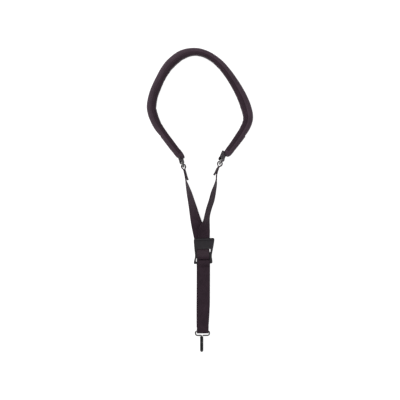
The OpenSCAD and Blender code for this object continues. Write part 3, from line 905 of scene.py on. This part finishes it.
def make_slider(mat):
    """One moulded frame: a flared, dished thumb plate with a raised edge, and two slots."""
    k = SLIDER_LEN / SLIDER_SIDE_LEN
    half = [(x, y * k) for x, y in spline(SLIDER_SIDE, 5)]
    outline = half + [(-x, y) for x, y in half[::-1]]
    slots = [slot_outline(left, right, low * k, high * k) for left, right, low, high in SLOTS]
    frame_plate = to_mesh(flat_solid("slider_frame", [outline, *slots], SLIDER_T, 0, 0.45))
    lip = to_mesh(flat_solid("slider_lip", [slot_outline(*SLIDER_LIP)], LIP_T, LIP_Z, 0.8))
    bpy.ops.object.select_all(action="DESELECT")
    frame_plate.select_set(True)
    lip.select_set(True)
    bpy.context.view_layer.objects.active = frame_plate
    bpy.ops.object.join()
    bpy.ops.object.transform_apply(location=True, rotation=True, scale=True)
    remesh = frame_plate.modifiers.new("remesh", "REMESH")
    remesh.mode, remesh.voxel_size = "VOXEL", 0.3 * MM
    smooth = frame_plate.modifiers.new("smooth", "SMOOTH")
    smooth.factor, smooth.iterations = 0.5, 4
    apply_modifiers(frame_plate)
    frame_plate.name = frame_plate.data.name = "slider_body"
    turn = Matrix.Rotation(math.radians(SLIDER_TURN), 4, "Z")
    move = Matrix.Translation(Vector((SLIDER_C[0], SLIDER_C[1], SLIDER_Z)) * MM)
    for v in frame_plate.data.vertices:
        x, y, z = (c / MM for c in v.co)
        dish = (max(0.0, 1 - (x / DISH_HALF_W) ** 2)
                * max(0.0, 1 - ((y - DISH_Y) / DISH_HALF_L) ** 2))
        if z > SLIDER_T / 2:
            z -= DISH_DEPTH * dish ** 0.7
        v.co = Vector((x, y + x * math.tan(math.radians(SLIDER_SHEAR)), z)) * MM
    frame_plate.data.transform(move @ turn)
    frame_plate.data.materials.clear()
    frame_plate.data.materials.append(mat)
    frame_plate.data.shade_smooth()
    return frame_plate


def hook_path():
    """Centre line of the wire: round the ring from beside the shank, then down into the J."""
    left, right = HOOK_X - HOOK_RING_W / 2, HOOK_X + HOOK_RING_W / 2
    top, bottom = HOOK_BAR_Y, HOOK_BAR_Y - HOOK_RING_L
    r, low, z = HOOK_CORNER_R, HOOK_LOW_R, HOOK_Z
    x_axis, y_axis = np.array([1.0, 0, 0]), np.array([0, 1.0, 0])
    points = [np.array([SHANK_X + 1.3, bottom - 0.25, z]), np.array([SHANK_X + 3, bottom, z])]
    for cx, cy, a0, radius in ((right - low, bottom + low, -90, low), (right - r, top - r, 0, r),
                               (left + r, top - r, 90, r), (left + low, bottom + low, 180, low)):
        points += arc((cx, cy, z), radius, a0, a0 + 90, 8, x_axis, y_axis)
    points += arc((SHANK_X - SHANK_BEND_R, bottom - SHANK_BEND_R, z), SHANK_BEND_R, 90, 0, 8,
                  x_axis, y_axis)
    points += [np.array([SHANK_X, y, z]) for y in np.linspace(bottom - 4, SHANK_END_Y + 1, 6)]
    points += arc((SHANK_X, SHANK_END_Y, z + HOOK_BEND_R), HOOK_BEND_R, -90,
                  -270 + math.degrees(TIP_FLARE), 20, y_axis, UP)
    points += [tip_point(s) for s in np.linspace(1, TIP_LEN, 5)]
    return points


def tip_point(s):
    """Centre of the hook's free end, s past the end of its turn."""
    rise, run = math.sin(TIP_FLARE), math.cos(TIP_FLARE)
    return np.array([SHANK_X, SHANK_END_Y - HOOK_BEND_R * rise + s * run,
                     HOOK_Z + HOOK_BEND_R * (1 + run) + s * rise])


def make_sleeve(mat):
    """Vinyl dipped over the hook, flared at its mouth and rounded at its tip."""
    z = HOOK_Z
    start = HOOK_BAR_Y - HOOK_RING_L - SHANK_BEND_R + 0.3
    points = [np.array([SHANK_X, y, z]) for y in np.linspace(start, SHANK_END_Y + 0.6, 24)]
    points += arc((SHANK_X, SHANK_END_Y, z + HOOK_BEND_R), HOOK_BEND_R, -90,
                  -270 + math.degrees(TIP_FLARE), 40, np.array([0, 1.0, 0]), UP)
    ahead_of_turn = [*np.linspace(0.6, TIP_LEN, 12),
                     *(TIP_LEN + SLEEVE_R * np.sin(np.radians([12, 25, 38, 50, 62, 73, 82, 88])))]
    points += [tip_point(s) for s in ahead_of_turn]
    along = lengths(points)
    end = along[-1] - ahead_of_turn[-1] + TIP_LEN
    radii = []
    for s in along:
        r = SLEEVE_R * (1 + 0.02 * noise.noise(Vector((s / 5, 1.0, 2.0))))
        if s < 1.2:
            r *= 0.78 + 0.22 * math.sin(math.pi / 2 * s / 1.2)
        past = (s - end) / SLEEVE_R
        if past > 0:
            r *= math.sqrt(max(1 - past ** 2, 0.0004))
        radii.append(r)
    return tube("hook_vinyl", points, SLEEVE_R, mat, sides=32, radii=radii)


def make_junction_stitching(mat):
    z = 2 * PLY_PITCH + WEB_T + 0.02
    lines = []
    for y in (-73.4, -72.3, -67.4, -66.3):
        points = [np.array([x, y, z]) for x in np.linspace(BACK_X - 6.5, BACK_X + 8.5, 8)]
        lines.append((points, [UP] * len(points)))
    return stitches("junction_thread", lines, mat, pitch=1.9, gap=0.4, radius=0.2)


# --- assembly ------------------------------------------------------------------------------

def place(piece, body, slot, *nodes):
    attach(piece, body)
    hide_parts(*nodes)
    return piece


make_camera()
make_world()
make_floor()
make_light("key", (-0.9, 0.8, 1.5), 0.7, 16.0, (1.0, 0.985, 0.97))
make_light("fill", (1.1, -0.5, 1.6), 1.2, 3.0, (0.97, 0.98, 1.0))

# The cover is painted lighter than the lining, partly as painted light for the light falling on
# the pad's outer face.
cover = pad_material("pad_cover", (0.042, 0.027, 0.037), (0.086, 0.059, 0.077))
lining = pad_material("pad_lining", (0.024, 0.013, 0.020), (0.050, 0.031, 0.043))
webbing = webbing_material("webbing", (0.020, 0.011, 0.017), (0.058, 0.038, 0.051))
# Paler over the slider's middle bar: a painted highlight for the light on the webbing's crest
# there.
crest_lit_webbing = webbing_material("crest_lit_webbing", (0.020, 0.011, 0.017),
                                  (0.058, 0.038, 0.051), crest_light=(18.5, 21.5))
# The tabs' webbing is painted much paler than the strands': a painted highlight for the light on
# its upturned faces.
tab_webbing = webbing_material("tab_webbing", (0.060, 0.054, 0.060), (0.125, 0.114, 0.124))
thread = thread_material("thread", (0.012, 0.010, 0.012))
ring_plate = wire_material("ring_plate", (0.24, 0.235, 0.235), 0.26, 0.42)
hook_plate = wire_material("hook_plate", (0.095, 0.095, 0.09), 0.3, 0.45)
plastic = plastic_material("slider_plastic", (0.017, 0.0145, 0.018))
vinyl = vinyl_material("vinyl", (0.008, 0.008, 0.009))

pad = place(make_pad(cover, lining), "root", "pad_fabric", "pad_outer_cover", "pad_foam_outer",
            "pad_core_webbing", "pad_foam_inner", "pad_lining")
seams = [pad_seam_line(offset, top) for top in (True, False) for offset in (-2.4, 2.4)]
seams += [pad_hem_line(hem, way) for hem, way, _, _ in HEMS]
pad_thread = stitches("pad_topstitch", seams, thread, pitch=3.0, gap=0.9, radius=0.26)
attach(pad_thread, "root")
last = len(pad_line) - 1
place(make_pad_end("pad_patch_left", 0, 2, LEFT, cover), "root", "pad_fabric", "pad_end_left")
place(make_pad_end("pad_patch_right", last, last - 2, RIGHT, cover), "root", "pad_fabric",
      "pad_end_right")

for label, side, route in (("left", LEFT, STRAND_LEFT), ("right", RIGHT, STRAND_RIGHT)):
    place(make_tab("tab_" + label, side, tab_webbing), "root", "tab_webbing",
          "ring_tab_" + label)
    place(make_tab_stitching("tab_thread_" + label, side, thread), "root", "thread",
          "tab_stitching_" + label)
    place(make_ring("wire_ring_" + label, side, ring_plate), label + "_ring", "ring_wire",
          "ring_" + label)
    points, widths = strand_path(side, route)
    place(ribbon("webbing_" + label, points, widths, webbing, seed=side["bar"][0] / 9),
          "root", "webbing", "strand_" + label)
    place(make_fold_stitching("fold_thread_" + label, side, thread), "root", "thread",
          "fold_stitching_" + label)

place(make_junction_stitching(thread), "root", "thread", "junction_stitching")
place(make_back_ply(webbing), "root", "webbing", "drop_strap")
place(make_front_ply(webbing), "hook_strap", "webbing", "hook_strap")
place(make_slider(plastic), "slider", "slider_plastic", "slider")
place(make_slider_webbing(crest_lit_webbing), "slider", "webbing", "slider_webbing")
place(tube("hook_wire_bent", hook_path(), HOOK_WIRE_R, hook_plate, sides=24), "hook",
      "hook_wire", "hook_wire")
place(make_sleeve(vinyl), "hook", "vinyl", "hook_sleeve")
